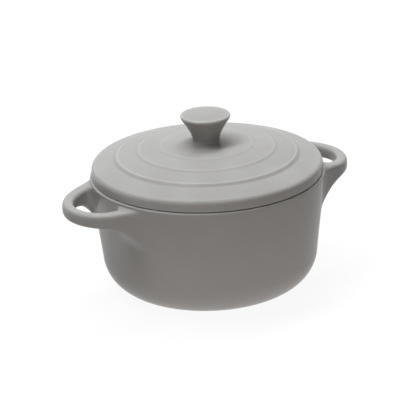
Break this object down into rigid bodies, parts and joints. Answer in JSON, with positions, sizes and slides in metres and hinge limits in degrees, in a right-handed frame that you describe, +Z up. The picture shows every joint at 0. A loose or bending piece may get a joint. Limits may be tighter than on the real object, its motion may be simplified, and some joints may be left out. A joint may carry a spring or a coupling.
{
  "type": "mini casserole dish",
  "caption": "Round stoneware mini casserole: tapered dish with loop handles and foot ring, and a lift-off lid with stepped dome, locating flange and trumpet knob.",
  "frame": {"origin": "middle of the foot ring, on the surface that the dish stands on", "axes": "+Z up, along the way the lid lifts; +X along the line through the two handles"},
  "size_m": [0.1346, 0.1018, 0.0779],
  "materials": {
    "dish_glaze": "satin",
    "lid_glaze": "satin"
  },
  "bodies": {
    "dish": {"dish": "dish_glaze"},
    "lid": {"lid": "lid_glaze"}
  },
  "joints": [
    {"name": "lid_lift", "type": "slide", "parent": "dish", "child": "lid", "axis": [0, 0, 1], "range_m": [0, 0.08]}
  ]
}
